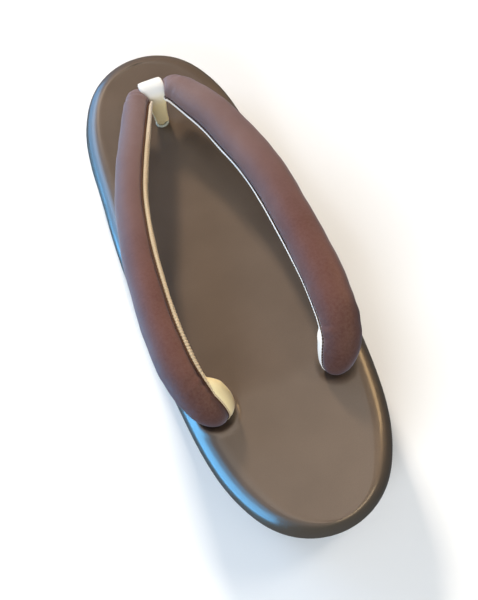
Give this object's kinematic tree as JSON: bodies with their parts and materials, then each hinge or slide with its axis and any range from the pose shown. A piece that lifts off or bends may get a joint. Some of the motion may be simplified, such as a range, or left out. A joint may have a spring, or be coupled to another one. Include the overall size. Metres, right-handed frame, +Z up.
{
  "type": "zori sandal",
  "caption": "Zori sandal: wrapped oval sole that is thick at the heel and thin at the toe, rubber outsole, padded V-shaped thong strap and a toe loop",
  "frame": {"origin": "centre of the bounding box's bottom face, on the floor that the outsole stands on", "axes": "+Z up, +Y from the heel to the toe, +X to the right of a wearer looking at the toe"},
  "size_m": [0.081, 0.24, 0.0556],
  "materials": {
    "outsole_rubber": "matt black",
    "wrapped_leather": "smooth satin brown",
    "strap_fabric": "soft matt reddish brown",
    "loop_fabric": "matt ivory"
  },
  "bodies": {
    "root": {"outsole": "outsole_rubber", "sole_body": "wrapped_leather", "strap": "strap_fabric", "toe_loop": "loop_fabric"}
  },
  "joints": []
}
